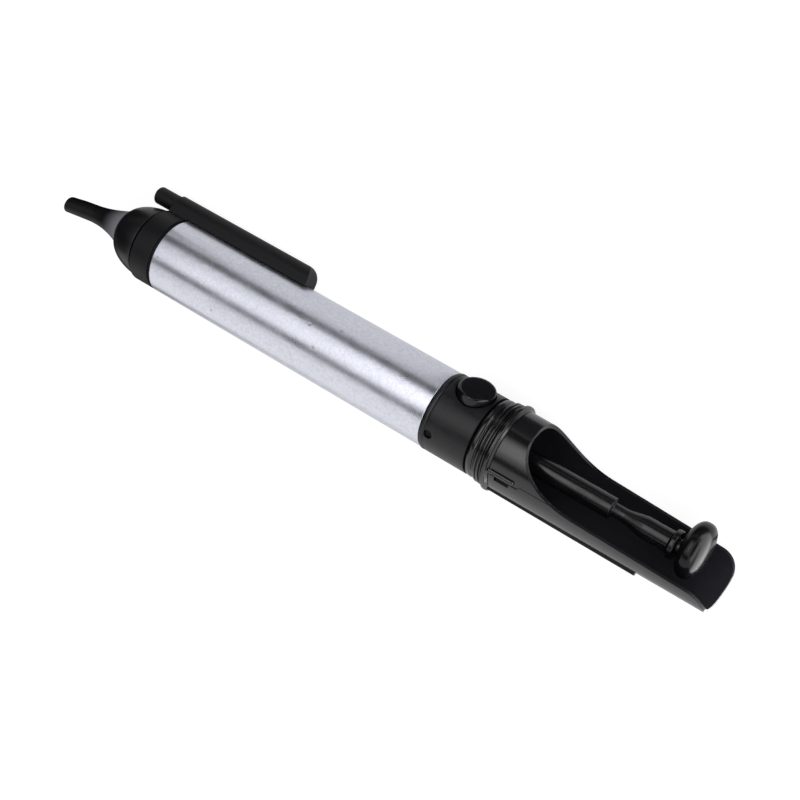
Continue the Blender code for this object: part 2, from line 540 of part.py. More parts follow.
def build_rear(root, black):
    """Housing, rod guide, the two pins that lock them together, and the piston's bumper."""
    lip_end = HOUSING_FRONT + HOUSING_LIP
    edge = GAP / 2
    inner_r = HOUSING_R - HOUSING_WALL
    shell = [(HOUSING_FRONT, inner_r), (HOUSING_FRONT, HOUSING_R - edge), (HOUSING_FRONT + edge, HOUSING_R)]
    shell += [(lip_end - edge, HOUSING_R), (lip_end, HOUSING_R - edge), (lip_end + edge, HOUSING_R)]
    shell += [(HOUSING_BACK - edge, HOUSING_R), (HOUSING_BACK, HOUSING_R - edge), (HOUSING_BACK, inner_r)]
    housing = turned("rear_housing", shell, root, black)
    guide = [(GUIDE_FRONT, ROD_BORE_R), (GUIDE_FRONT, FIT_R), (BARREL_LENGTH + edge, FIT_R)]
    guide += [(BARREL_LENGTH + edge, GUIDE_R), (GUARD_FRONT - edge, GUIDE_R), (GUARD_FRONT - edge, TAIL_R)]
    guide += [(GUIDE_BACK, TAIL_R), (GUIDE_BACK, ROD_BORE_R)]
    body = turned("rod_guide", guide, root, finish("guide_black", (0.02, 0.02, 0.022), 0.4))

    trigger = frame("trigger_axis", root, (BUTTON_STATION, 0.0, 0.0), (0.0, 0.0, pi / 2))
    well = cylinder(BUTTON_BASE - BUTTON_TRAVEL - GAP, BUTTON_TOP, BUTTON_R + GAP)
    well = turned("button_well_guide", well, trigger, None, MIDDLE_STEPS)
    combine(housing, "DIFFERENCE", well)
    combine(body, "DIFFERENCE", well)
    thick = LATCH_THICKNESS / 2 + GAP
    wide = LATCH_WIDTH / 2 + GAP
    pocket = block("latch_pocket_guide", (POCKET_FLOOR, -thick, -wide), (BUTTON_BASE, thick, wide), trigger)
    combine(body, "DIFFERENCE", pocket)
    seat_r = TRIGGER_SPRING_R + TRIGGER_SPRING_WIRE / 2 + GAP
    seat = turned("spring_bore_guide", cylinder(-GUIDE_R - GAP, PLATE_BASE, seat_r), trigger, None,
                  SMALL_STEPS)
    combine(body, "DIFFERENCE", seat)

    button_side = BUTTON_TOP - BUTTON_CROWN - BUTTON_ROUNDING
    crown = arc((button_side, BUTTON_R - BUTTON_ROUNDING), BUTTON_ROUNDING, 90, BUTTON_CROWN_SLOPE, 3)
    crown.append((BUTTON_TOP - BUTTON_CROWN * 0.25, BUTTON_R * 0.5))
    button_outline = [(BUTTON_BASE, 0.0), (BUTTON_BASE, BUTTON_R)] + crown + [(BUTTON_TOP, 0.0)]
    gloss = finish("button_gloss_black", (0.012, 0.012, 0.014), 0.12)
    button = turned("button", button_outline, trigger, gloss)
    tongue = LATCH_TONGUE_WIDTH / 2
    slot = block("tongue_slot_guide", (BUTTON_BASE - GAP, -thick, -tongue - GAP),
                 (BUTTON_BASE + LATCH_TONGUE + GAP, thick, tongue + GAP), trigger)
    combine(button, "DIFFERENCE", slot)
    build_latch(trigger)

    steel = finish("trigger_spring_steel", (0.45, 0.45, 0.46), 0.3, 1.0)
    coil("button_spring", -inner_r + GAP, PLATE_BASE - GAP, TRIGGER_SPRING_R, TRIGGER_SPRING_WIRE,
         TRIGGER_SPRING_TURNS, trigger, steel, 8)

    pin_steel = finish("lock_pin_steel", (0.10, 0.10, 0.10), 0.4, 1.0)
    for side, turn in (("top", pi / 2), ("bottom", -pi / 2)):
        lock = frame("lock_axis_" + side, root, (LOCK_STATION, 0.0, 0.0), (0.0, -turn, 0.0))
        foot = HOUSING_R - LOCK_DEPTH
        hole = turned("lock_hole_guide_" + side, cylinder(foot, HOUSING_R + GAP, LOCK_HOLE_R), lock,
                      None, SMALL_STEPS)
        combine(housing, "DIFFERENCE", hole)
        combine(body, "DIFFERENCE", hole)
        pin = cylinder(foot + GAP, HOUSING_R - LOCK_RECESS, LOCK_HOLE_R - GAP)
        turned("lock_pin_" + side, pin, lock, pin_steel, 16)

    bumper = ring(BUMPER_FRONT, BUMPER_FRONT + BUMPER_THICKNESS, FIT_R - BUMPER_WIDTH, FIT_R)
    turned("bumper", bumper, root, finish("bumper_rubber", (0.04, 0.04, 0.04), 0.75), MIDDLE_STEPS)


def build_latch(trigger):
    """A steel plate round the rod; its lower edge drops behind the rod's shoulder when set."""
    half = LATCH_WIDTH / 2
    tongue = LATCH_TONGUE_WIDTH / 2
    corner = LATCH_FOOT / 2
    outline = arc((PLATE_BASE + corner, -half + corner), corner, 270, 180, 3)
    outline += arc((PLATE_BASE + corner, half - corner), corner, 180, 90, 3)
    outline += [(PLATE_SHOULDER, half), (PLATE_SHOULDER, tongue), (BUTTON_BASE + LATCH_TONGUE, tongue)]
    outline += [(BUTTON_BASE + LATCH_TONGUE, -tongue), (PLATE_SHOULDER, -tongue), (PLATE_SHOULDER, -half)]
    upright = frame("latch_frame", trigger, rotation=(pi / 2, 0.0, 0.0))
    steel = finish("latch_steel", (0.50, 0.50, 0.50), 0.35, 1.0)
    plate = extruded("latch_plate", outline, LATCH_THICKNESS, upright, steel)
    hole = arc((0.0, 0.0), ROD_BORE_R, 270, 90, 10) + arc((HOLE_RISE, 0.0), ROD_BORE_R, 90, -90, 10)
    combine(plate, "DIFFERENCE", extruded("latch_hole_guide", hole, LATCH_THICKNESS + GAP, upright))


def build_guard(root, gloss):
    """A tapered sleeve with two ring beads, ribs on its sides and a long swept opening."""
    low_r = GUARD_R - RING_GROOVE
    outer = [(GUARD_FRONT, low_r), (GUARD_FRONT + RING_GROOVE, GUARD_R)]
    outer += bead(BEAD_STATION, BEAD_WIDTH, GUARD_R, BEAD_R)
    outer += bead(FLANGE_STATION, FLANGE_WIDTH, GUARD_R, FLANGE_R, 8)
    outer += [(GUARD_END - RING_GROOVE, GUARD_END_R), (GUARD_END, GUARD_END_R - RING_GROOVE)]
    inner = [(GUARD_END, GUARD_END_R - GUARD_WALL), (GUIDE_BACK, GUARD_R - GUARD_WALL)]
    outline = outer + inner + [(GUARD_FRONT, GUARD_R - GUARD_WALL)]
    sleeve = turned("guard_sleeve", outline, root, gloss)

    ease = CUT_BELLY - CUT_EASE
    sweep = []
    for i in range(11):
        k = i / 10
        near, far = (1 - k) ** 2, k ** 2
        x = CUT_START * near * (1 + 2 * k) + ease * 3 * (1 - k) * far + CUT_BELLY * k * far
        y = GUARD_R * near * (1 - k) + (GUARD_R - CUT_STEEP) * 3 * near * k
        y += -RIM_DROP / 2 * 3 * (1 - k) * far - RIM_DROP * k * far
        sweep.append((x, y))
    end_drop = RIM_DROP + RIM_FALL
    beyond = GUARD_END + GAP
    high = FLANGE_R + GAP
    corner = arc((GUARD_END - RIM_CORNER, -end_drop - RIM_CORNER), RIM_CORNER, 90, 0, 5)
    cutter = [(CUT_START, high)] + sweep + corner + [(beyond, -end_drop - RIM_CORNER), (beyond, high)]
    turned_frame = frame("opening_frame", root, rotation=(radians(OPENING_TURN), 0, 0))
    opening = extruded("opening_guide", cutter, 2 * high, turned_frame)

    for mirror in (1, -1):
        name = "upper" if mirror > 0 else "lower"
        side = frame("long_rib_frame_" + name, root, rotation=(radians(mirror * LONG_RIB_ANGLE), 0, 0))
        low = GUARD_END_R - GUARD_WALL / 2
        top = GUARD_R + LONG_RIB_HEIGHT
        rib = [(FLANGE_STATION, low), (LONG_RIB_END, low)]
        rib += arc((LONG_RIB_END - LONG_RIB_HEIGHT, top - LONG_RIB_HEIGHT), LONG_RIB_HEIGHT, 0, 90, 3)
        rib += [(FLANGE_STATION, top)]
        combine(sleeve, "UNION", extruded("long_rib_guide_" + name, rib, LONG_RIB_WIDTH, side))
        side = frame("short_rib_frame_" + name, root, rotation=(radians(mirror * 90), 0, 0))
        half = SHORT_RIB_WIDTH / 2
        end = FLANGE_STATION + FLANGE_WIDTH / 2 + SHORT_RIB_LENGTH
        flat = [(FLANGE_STATION, -half)] + arc((end - half, 0.0), half, -90, 90, 6) + [(FLANGE_STATION, half)]
        height = GUARD_WALL / 2 + SHORT_RIB_HEIGHT
        middle = GUARD_R + SHORT_RIB_HEIGHT - height / 2
        lying = frame("short_rib_plane_" + name, side, (0.0, middle, 0.0), (pi / 2, 0.0, 0.0))
        combine(sleeve, "UNION", extruded("short_rib_guide_" + name, flat, height, lying))
    window_frame = frame("window_frame", root, rotation=(radians(WINDOW_ANGLE), 0, 0))
    window = block("window_guide", (WINDOW_START, GUARD_R - WINDOW_DEPTH, -WINDOW_WIDTH / 2),
                   (WINDOW_START + WINDOW_LENGTH, FLANGE_R, WINDOW_WIDTH / 2), window_frame)
    combine(sleeve, "DIFFERENCE", window)
    combine(sleeve, "DIFFERENCE", opening)


def rest_on_floor(root):
    """Puts the world's origin under the middle of the finished pump, level with its lowest point."""
    bpy.context.view_layer.update()
    depsgraph = bpy.context.evaluated_depsgraph_get()
    corners = []
    for piece in bpy.context.scene.objects:
        if piece.type in {"MESH", "CURVE"} and not piece.hide_render:
            shown = piece.evaluated_get(depsgraph)
            mesh = shown.to_mesh()
            corners += [shown.matrix_world @ vert.co for vert in mesh.vertices]
            shown.to_mesh_clear()
    low = Vector([min(c[i] for c in corners) for i in range(3)])
    high = Vector([max(c[i] for c in corners) for i in range(3)])
    root.location -= Vector(((low.x + high.x) / 2, (low.y + high.y) / 2, low.z))
    bpy.context.view_layer.update()


def build():
    for item in list(bpy.data.objects):
        bpy.data.objects.remove(item, do_unlink=True)
    root = frame("pump_axis", rotation=(0.0, 0.0, pi))
    satin_black = finish("satin_black_moulding", (0.022, 0.022, 0.025), 0.45)
    gloss_black = finish("gloss_black_moulding", (0.015, 0.015, 0.017), 0.18)
    scuffed_black = finish("scuffed_black_moulding", (0.028, 0.028, 0.03), 0.5)
    build_barrel(root)
    step = build_nose_cap(root, satin_black)
    build_nozzle(root, step)
    build_clip(root, finish("clip_black_moulding", (0.024, 0.024, 0.027), 0.5))
    build_plunger(root, finish("rod_gloss_black", (0.015, 0.015, 0.017), 0.2))
    build_rear(root, scuffed_black)
    build_guard(root, gloss_black)
    rest_on_floor(root)


build()
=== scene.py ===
"""Looks of the desoldering pump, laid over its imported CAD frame.

The sections follow the pump as it is put together, from the barrel outwards. Sizes are in
millimetres. Stations run back along the pump from the front end of the barrel, so the nozzle lies
at negative stations, and angles run round the axis from the button towards the top.
"""
from math import cos, pi, radians, sin, sqrt

import bpy
from mathutils import Matrix, Vector


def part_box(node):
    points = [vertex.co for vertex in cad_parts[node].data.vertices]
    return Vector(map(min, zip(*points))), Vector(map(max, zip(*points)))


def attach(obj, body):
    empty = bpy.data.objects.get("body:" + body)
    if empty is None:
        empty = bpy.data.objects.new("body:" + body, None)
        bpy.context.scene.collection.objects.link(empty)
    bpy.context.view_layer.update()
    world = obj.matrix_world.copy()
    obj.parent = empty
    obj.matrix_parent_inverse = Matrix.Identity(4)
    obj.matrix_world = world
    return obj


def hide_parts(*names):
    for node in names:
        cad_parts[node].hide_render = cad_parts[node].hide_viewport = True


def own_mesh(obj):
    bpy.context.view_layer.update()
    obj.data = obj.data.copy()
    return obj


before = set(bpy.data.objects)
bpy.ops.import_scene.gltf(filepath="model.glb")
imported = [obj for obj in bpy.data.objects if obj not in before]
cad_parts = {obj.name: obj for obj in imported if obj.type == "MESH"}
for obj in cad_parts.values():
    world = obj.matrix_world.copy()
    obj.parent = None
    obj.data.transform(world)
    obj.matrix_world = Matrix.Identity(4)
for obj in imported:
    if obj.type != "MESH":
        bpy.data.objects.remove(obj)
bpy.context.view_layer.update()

# ---- Barrel ---------------------------------------------------------------------------------
# A length of drawn aluminium tube, cut square and rubbed to a satin finish. It is bare metal, a
# little clouded, with pits and short scratches from use. The nose cap plugs its front end and the
# rod guide its rear end.
MM = 0.001
low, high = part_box("barrel")
barrel_front = Vector((high.x, (low.y + high.y) / 2, (low.z + high.z) / 2))


def place(station, side=0.0, up=0.0):
    """The point at a station, so far from the axis towards the button and upwards."""
    return barrel_front + Vector((-station, -side, up)) * MM


def turned(outline, facets=96, centre=(0.0, 0.0), lean=None):
    """Draws a round piece out of one ring, as on a lathe, from pairs of station and radius.

    An outline that comes back to its start is a tube; any other gets flat ends."""
    def middle(station):
        side, up = lean(station) if lean else centre
        return place(station, side, up)

    bpy.ops.object.select_all(action="DESELECT")
    station, radius = outline[0]
    bpy.ops.mesh.primitive_circle_add(
        vertices=facets, radius=radius * MM, location=middle(station), rotation=(0, pi / 2, 0))
    bpy.ops.object.transform_apply(location=True, rotation=True, scale=True)
    bpy.ops.object.mode_set(mode="EDIT")
    bpy.ops.mesh.select_all(action="SELECT")
    for after, wide in outline[1:]:
        bpy.ops.mesh.extrude_region_move(
            TRANSFORM_OT_translate={"value": middle(after) - middle(station)})
        grow = wide / radius
        bpy.ops.transform.resize(value=(1, grow, grow), center_override=middle(after))
        station, radius = after, wide
    bpy.ops.mesh.select_all(action="SELECT")
    bpy.ops.mesh.remove_doubles(threshold=0.001 * MM)
    bpy.ops.mesh.fill_holes(sides=0)
    bpy.ops.mesh.normals_make_consistent(inside=False)
    bpy.ops.object.mode_set(mode="OBJECT")
    return bpy.context.object


def only(piece):
    """Selects one piece, so that the next operators act on it alone."""
    bpy.ops.object.select_all(action="DESELECT")
    piece.select_set(True)
    bpy.context.view_layer.objects.active = piece


def modify(piece, kind, **settings):
    """Adds a modifier with its settings and applies it."""
    only(piece)
    bpy.ops.object.modifier_add(type=kind)
    modifier = piece.modifiers[-1]
    for name, value in settings.items():
        setattr(modifier, name, value)
    bpy.ops.object.modifier_apply(modifier=modifier.name)


def break_edges(piece, width, rings=3, sharp=32):
    """Rounds the corners of a piece, as its mould or tool leaves them."""
    modify(piece, "BEVEL", width=width * MM, segments=rings, limit_method="ANGLE",
           angle_limit=radians(sharp), miter_outer="MITER_ARC")


def dress(piece, name, body, node, finish):
    """Names, smooths and finishes a piece that stands for a CAD node."""
    only(piece)
    bpy.ops.object.shade_smooth_by_angle(angle=radians(38))
    modify(piece, "WEIGHTED_NORMAL", keep_sharp=True)
    piece.name = name
    piece.data.name = name
    piece.data.materials.clear()
    piece.data.materials.append(finish)
    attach(piece, body)
    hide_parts(node)
    return piece


def linear(code):
    """An sRGB hex colour as the shader's linear values."""
    parts = [int(code[i:i + 2], 16) / 255 for i in (1, 3, 5)]
    return (*[c / 12.92 if c <= 0.04045 else ((c + 0.055) / 1.055) ** 2.4 for c in parts], 1.0)


def add_node(finish, kind, inputs=None, links=None, **settings):
    """Adds a node with its settings, the values of its sockets and the links into them."""
    node = finish.node_tree.nodes.new("ShaderNode" + kind)
    for name, value in settings.items():
        setattr(node, name, value)
    for socket, value in (inputs or {}).items():
        node.inputs[socket].default_value = value
    for socket, source in (links or {}).items():
        finish.node_tree.links.new(source, node.inputs[socket])
    return node


def new_finish(name, metallic=0.0, ior=None):
    """A material and its shader, with the values that hold all over it on the shader itself."""
    finish = bpy.data.materials.new(name)
    finish.use_nodes = True
    shader = finish.node_tree.nodes["Principled BSDF"]
    shader.inputs["Metallic"].default_value = metallic
    if ior:
        shader.inputs["IOR"].default_value = ior
    return finish, shader


def drawn_aluminium():
    """Drawn aluminium, rubbed to a satin: soft long reflections whose edges waver over clouds of
    about 5 mm, a mottled skin of about 0.7 mm, and pits some tenths of a millimetre wide."""
    finish, shader = new_finish("satin_drawn_aluminium", metallic=1.0)
    tree = finish.node_tree.links
    where = add_node(finish, "TexCoord").outputs["Object"]
    cloud_place = add_node(finish, "Mapping", {"Scale": (0.7, 1.3, 1.3)}, {"Vector": where})
    cloud = add_node(finish, "TexNoise", {"Scale": 200.0, "Detail": 4.0, "Roughness": 0.6},
                     {"Vector": cloud_place.outputs[0]})
    skin = add_node(finish, "TexNoise", {"Scale": 1400.0, "Detail": 3.0, "Roughness": 0.65},
                    {"Vector": where})
    pits = add_node(finish, "TexVoronoi", {"Scale": 260.0, "Randomness": 1.0}, {"Vector": where})
    pit_depth = add_node(finish, "MapRange", {1: 0.03, 2: 0.16, 3: 0.8, 4: 0.0},
                         {0: pits.outputs["Distance"]}, interpolation_type="SMOOTHSTEP")
    rare = add_node(finish, "SeparateColor", links={"Color": pits.outputs["Color"]})
    few = add_node(finish, "Math", {1: 0.86}, {0: rare.outputs[0]}, operation="GREATER_THAN")
    pitted = add_node(finish, "Math", links={0: pit_depth.outputs[0], 1: few.outputs[0]},
                      operation="MULTIPLY")
    speckle = add_node(finish, "MapRange", {1: 0.32, 2: 0.68, 3: 0.0, 4: 1.0},
                       {0: skin.outputs[0]})
    tint = add_node(finish, "Mix", {6: linear("#cdced9"), 7: linear("#e0e2ec")},
                    {0: speckle.outputs[0]}, data_type="RGBA")
    spotted = add_node(finish, "Mix", {7: linear("#a4a5b0")},
                       {0: pitted.outputs[0], 6: tint.outputs[2]}, data_type="RGBA")
    tree.new(spotted.outputs[2], shader.inputs["Base Color"])
    dull = add_node(finish, "MapRange", {1: 0.3, 2: 0.7, 3: 0.26, 4: 0.34}, {0: cloud.outputs[0]})
    tree.new(dull.outputs[0], shader.inputs["Roughness"])
    broad = add_node(finish, "Bump", {"Strength": 1.0, "Distance": 0.05 * MM},
                     {"Height": cloud.outputs[0]})
    fine = add_node(finish, "Bump", {"Strength": 1.0, "Distance": 0.02 * MM},
                    {"Height": skin.outputs[0], "Normal": broad.outputs[0]})
    deep = add_node(finish, "Bump", {"Strength": 1.0, "Distance": 0.03 * MM},
                    {"Height": pitted.outputs[0], "Normal": fine.outputs[0]}, invert=True)
    tree.new(deep.outputs[0], shader.inputs["Normal"])
    return finish


barrel_length, barrel_r, bore_r = 84.9, 10.0, 9.1
barrel = turned([(0, bore_r), (0, barrel_r), (barrel_length, barrel_r), (barrel_length, bore_r),
                 (0, bore_r)], 128)
break_edges(barrel, 0.15)
dress(barrel, "barrel_tube", "pump_body", "barrel", drawn_aluminium())

# ---- Nose cap -------------------------------------------------------------------------------
# A black dome moulded in satin ABS. Its neck carries the clip's collar, and its plug, sealed by an
# O-ring, holds in the barrel's front end.


def moulded(name, body, rubbed, polish, scuff, grain, depth, ior=1.53, sheen=0.5):
    """A moulded plastic or rubber: its own colour and the paler one of rubbed places, its
    roughness where smooth and where rubbed, the size of a rub and of the mould's grain, the
    grain's depth, its refractive index and how strongly its surface mirrors."""
    finish, shader = new_finish(name, ior=ior)
    shader.inputs["Specular IOR Level"].default_value = sheen
    tree = finish.node_tree.links
    where = add_node(finish, "TexCoord").outputs["Object"]
    drawn_out = add_node(finish, "Mapping", {"Scale": (0.35, 1.0, 1.0)}, {"Vector": where})
    rubs = add_node(finish, "TexNoise",
                    {"Scale": 1 / (scuff * MM), "Detail": 7.0, "Roughness": 0.68},
                    {"Vector": drawn_out.outputs[0]})
    rub = add_node(finish, "MapRange", {1: 0.45, 2: 0.75, 3: 0.0, 4: 1.0}, {0: rubs.outputs[0]},
                   interpolation_type="SMOOTHSTEP")
    colour = add_node(finish, "Mix", {6: linear(body), 7: linear(rubbed)}, {0: rub.outputs[0]},
                      data_type="RGBA")
    tree.new(colour.outputs[2], shader.inputs["Base Color"])
    gloss = add_node(finish, "MapRange", {3: polish[0], 4: polish[1]}, {0: rub.outputs[0]})
    tree.new(gloss.outputs[0], shader.inputs["Roughness"])
    skin = add_node(finish, "TexNoise",
                    {"Scale": 1 / (grain * MM), "Detail": 3.0, "Roughness": 0.6},
                    {"Vector": where})
    bump = add_node(finish, "Bump", {"Strength": 0.6, "Distance": depth * MM},
                    {"Height": skin.outputs[0]})
    tree.new(bump.outputs[0], shader.inputs["Normal"])
    return finish


# the dome is a superellipse round a short nose
dome = []
nose_r, swell_r, dome_back, dome_length = 4.3, 5.05, -7.7, 9.0
for i in range(25):
    turn = radians(90 - 3.75 * i)
    dome_r = nose_r + swell_r * cos(turn) ** (2 / 2.06)
    if dome_r > 5.3:
        dome.append((dome_back - dome_length * sin(turn) ** (2 / 1.59), dome_r))
cap_front = dome[0][0] - 0.3
mouth_r, neck_r, plug_r, hollow_r, seal_groove_r = 5.0, 8.4, 8.8, 7.1, 7.0
cap = turned([(cap_front, mouth_r), (cap_front, 5.15)] + dome + [
    (-7.6, 9.15), (-7.55, neck_r), (0.15, neck_r), (0.15, plug_r), (3.05, plug_r),
    (3.05, seal_groove_r), (5.15, seal_groove_r), (5.15, plug_r), (8.0, plug_r), (8.0, hollow_r),
    (cap_front + 2.4, hollow_r), (cap_front + 2.4, mouth_r), (cap_front, mouth_r)])
break_edges(cap, 0.18)
# ABS from a satin mould: a soft sheen, a grain of about 0.3 mm, a few paler rubs
dress(cap, "nose_cap_dome", "pump_body", "nose_cap",
      moulded("satin_abs_cap", "#0e0e11", "#18181c", (0.34, 0.44), 5.0, 0.3, 0.006, sheen=0.36))

# ---- Nozzle ---------------------------------------------------------------------------------
# A soft heat-resistant tip, moulded in filled PTFE, with a flare that presses into the cap's
# mouth and a flange behind it. It has set with a slight lean away from the clip.
clip_angle = -40.5
clip_side, clip_up = cos(radians(clip_angle)), sin(radians(clip_angle))
flare_back, tip_length, tip_offset = -16.7, 19.8, 2.0


def tip_lean(station):
    """How far the nozzle's middle hangs off the axis at a station."""
    forward = max(flare_back - station, 0.0)
    out = tip_offset * (forward / tip_length) ** 1.75
    return -clip_side * out, -clip_up * out


tip_front, tip_r, tip_bore_r, flare_r, flange_r = -36.5, 1.7, 1.1, 4.85, 6.8
nozzle_outline = [(tip_front + 0.5 * (1 - cos(radians(a))), tip_r + 0.5 * sin(radians(a)))
                  for a in range(0, 91, 15)]
nozzle_outline += [(-32.0, 2.34)]
nozzle_outline += [(-28.5 + 11.2 * i / 24, 2.38 + 2.47 * (i / 24) ** 1.9) for i in range(25)]
nozzle_outline += [(flare_back, flare_r), (cap_front + 2.7, flare_r), (cap_front + 2.7, flange_r),
                   (cap_front + 4.7, flange_r), (cap_front + 4.7, 3.2), (-19.0, 2.9),
                   (-28.2, tip_bore_r), (tip_front, tip_bore_r), (tip_front, tip_r)]
nozzle = turned(nozzle_outline, 64, lean=tip_lean)
break_edges(nozzle, 0.12)
# Filled PTFE: matte, with a fine grain that heat has roughened. Towards the flare's wide end
# the colour is painted pale: a painted reflection of the bright surroundings
filled_ptfe = moulded(
    "filled_ptfe_tip", "#0d0d0f", "#1a1a1c", (0.42, 0.6), 2.5, 0.25, 0.01, sheen=0.2)
tree = filled_ptfe.node_tree
shader = tree.nodes["Principled BSDF"]
where = add_node(filled_ptfe, "SeparateXYZ",
                 links={0: add_node(filled_ptfe, "TexCoord").outputs["Object"]})
# painted reflection: the base colour blends to pale grey towards the flare's wide end
flare = add_node(filled_ptfe, "MapRange", {1: place(-23.5).x, 2: place(-15.9).x, 3: 0.0, 4: 1.0},
                 {0: where.outputs[0]}, interpolation_type="SMOOTHSTEP")
colour = add_node(filled_ptfe, "Mix", {7: linear("#a6a6ac")},
                  {0: flare.outputs[0], 6: shader.inputs["Base Color"].links[0].from_socket},
                  data_type="RGBA")
tree.links.new(colour.outputs[2], shader.inputs["Base Color"])
dress(nozzle, "nozzle_tip", "pump_body", "nozzle", filled_ptfe)

# ---- Clip -----------------------------------------------------------------------------------
# A collar under the dome and a hollow arm along the barrel, moulded in one with the web between
# them, in satin black ABS. The arm's bore stores the cleaning pin. The collar turns on the neck.


def turn_round(piece, angle):
    """Turns a piece made over the button round the axis, from the button towards the top."""
    only(piece)
    bpy.ops.object.mode_set(mode="EDIT")
    bpy.ops.mesh.select_all(action="SELECT")
    bpy.ops.transform.rotate(value=radians(angle), orient_axis="X", center_override=barrel_front)
    bpy.ops.object.mode_set(mode="OBJECT")


def union(piece, other):
    """Makes two pieces one moulding."""
    modify(piece, "BOOLEAN", operation="UNION", solver="EXACT", object=other)
    bpy.data.objects.remove(other)


def slab(outline, start, depth):
    """A block for cutting: an outline seen from the pump's side, drawn out upwards."""
    mesh = bpy.data.meshes.new("slab")
    mesh.from_pydata([place(station, side, start) for station, side in outline], [],
                     [list(range(len(outline)))])
    block = bpy.data.objects.new("slab", mesh)
    bpy.context.scene.collection.objects.link(block)
    only(block)
    bpy.ops.object.mode_set(mode="EDIT")
    bpy.ops.mesh.select_all(action="SELECT")
    bpy.ops.mesh.extrude_region_move(TRANSFORM_OT_translate={"value": (0, 0, depth * MM)})
    bpy.ops.mesh.select_all(action="SELECT")
    bpy.ops.mesh.normals_make_consistent(inside=False)
    bpy.ops.object.mode_set(mode="OBJECT")
    return block


def cut(piece, tool):
    """Takes the shape of a tool out of a piece."""
    modify(piece, "BOOLEAN", operation="DIFFERENCE", solver="EXACT", object=tool)
    bpy.data.objects.remove(tool)


def straight_bar(station, side, length, depth, width):
    """A square bar along the pump over the button, from its middle and its three sizes."""
    bpy.ops.object.select_all(action="DESELECT")
    bpy.ops.mesh.primitive_cube_add(size=1, location=place(station, side),
                                    scale=(length * MM, depth * MM, width * MM))
    bpy.ops.object.transform_apply(location=True, rotation=True, scale=True)
    return bpy.context.object


arm_front, arm_length, arm_width, arm_bottom, arm_top = -6.2, 46.0, 5.8, 10.2, 14.8
bpy.ops.object.select_all(action="DESELECT")
bpy.ops.mesh.primitive_circle_add(
    vertices=64, radius=arm_width / 2 * MM, fill_type="NGON",
    location=place(arm_front, arm_top - arm_width / 2), rotation=(0, pi / 2, 0))
bpy.ops.object.transform_apply(location=True, rotation=True, scale=True)
arm = bpy.context.object
middle_y = place(0, arm_top - arm_width / 2).y
for vert in arm.data.vertices:
    # the half that faces the barrel gets straight sides and an underside that follows the tube
    if vert.co.y > middle_y + 0.01 * MM:
        across = (vert.co.z - barrel_front.z) / MM * 1.05
        across = min(max(across, -arm_width / 2), arm_width / 2)
        vert.co.z = barrel_front.z + across * MM
        vert.co.y = place(0, sqrt(arm_bottom ** 2 - across ** 2)).y
bpy.ops.object.mode_set(mode="EDIT")
bpy.ops.mesh.select_all(action="SELECT")
bpy.ops.mesh.extrude_region_move(TRANSFORM_OT_translate={"value": (-arm_length * MM, 0, 0)})
bpy.ops.mesh.select_all(action="SELECT")
bpy.ops.mesh.normals_make_consistent(inside=False)
bpy.ops.object.mode_set(mode="OBJECT")
# the end is square below and rounded off above
arm_back, end_depth, end_bottom = 37.9, 2.6, arm_bottom - 0.4
arm_end = [(arm_back - end_depth * (1 - cos(radians(a))),
            end_bottom + (arm_top - end_bottom) * sin(radians(a))) for a in range(0, 91, 9)]
cut(arm, slab([(arm_back, 8.0)] + arm_end + [(34.0, 15.6), (40.0, 15.6), (40.0, 8.0)], -4.0, 8.0))
break_edges(arm, 0.14, 3, 28)
turn_round(arm, clip_angle)
web = straight_bar(-3.8, 9.9, 6.0, 2.4, arm_width)
turn_round(web, clip_angle)

collar_bore_r, collar_r = 8.7, 9.95
clip = turned([(-6.95, collar_bore_r), (-6.95, 9.75), (-6.85, 9.9), (-6.7, collar_r),
               (-1.25, collar_r), (-1.05, 9.8), (-1.0, 9.4), (-0.4, 9.3), (-0.3, 9.15),
               (-0.3, collar_bore_r), (-6.95, collar_bore_r)])
union(clip, web)
union(clip, arm)
# The same ABS as the cap, rubbed dull along the arm by pockets and fingers
dress(clip, "clip_moulding", "pump_body", "clip",
      moulded("rubbed_abs_clip", "#101013", "#18181b", (0.46, 0.58), 6.0, 0.35, 0.008, sheen=0.2))

# ---- Cleaning pin ---------------------------------------------------------------------------
# A steel needle with a round black grip, pushed into the arm's bore from the front. It is drawn
# out to clear solder from the nozzle.
arm_bore = 12.0
pin_axis = (arm_bore * clip_side, arm_bore * clip_up)
grip_front, grip_back, grip_edge, grip_r = -13.6, -6.35, 0.7, 2.35
grip_outline = [(grip_front + grip_edge * (1 - cos(radians(a))),
                 grip_r - grip_edge + grip_edge * sin(radians(a))) for a in range(0, 91, 15)]
grip = turned([(grip_front, 0.4)] + grip_outline + [(grip_back, grip_r), (grip_back, 0.8),
                                                    (-11.1, 0.8), (-11.1, 0.1)], 64, pin_axis)
break_edges(grip, 0.1)
# ABS with a rough skin from handling, its grain about 0.25 mm
dress(grip, "pin_grip", "cleaning_pin", "cleaning_pin_grip",
      moulded("worn_abs_grip", "#131316", "#2a2a2c", (0.5, 0.65), 1.2, 0.25, 0.02, sheen=0.2))

# ---- Rear housing ---------------------------------------------------------------------------
# The black ABS shell behind the barrel, with a raised lip in front, a well for the button and two
# small holes whose pins lock it to the rod guide. Handling has scuffed its middle.


def upright_bar(station, side, start, length, radius, facets=64):
    """A round bar that stands out from the axis: towards the button, or up or down."""
    bpy.ops.object.select_all(action="DESELECT")
    way = Vector((0, -1, 0)) if side == "button" else Vector((0, 0, 1 if side == "top" else -1))
    bpy.ops.mesh.primitive_cylinder_add(
        vertices=facets, radius=radius * MM, depth=length * MM,
        location=place(station) + way * (start + length / 2) * MM,
        rotation=way.to_track_quat("Z", "X").to_euler())
    bpy.ops.object.transform_apply(location=True, rotation=True, scale=True)
    return bpy.context.object


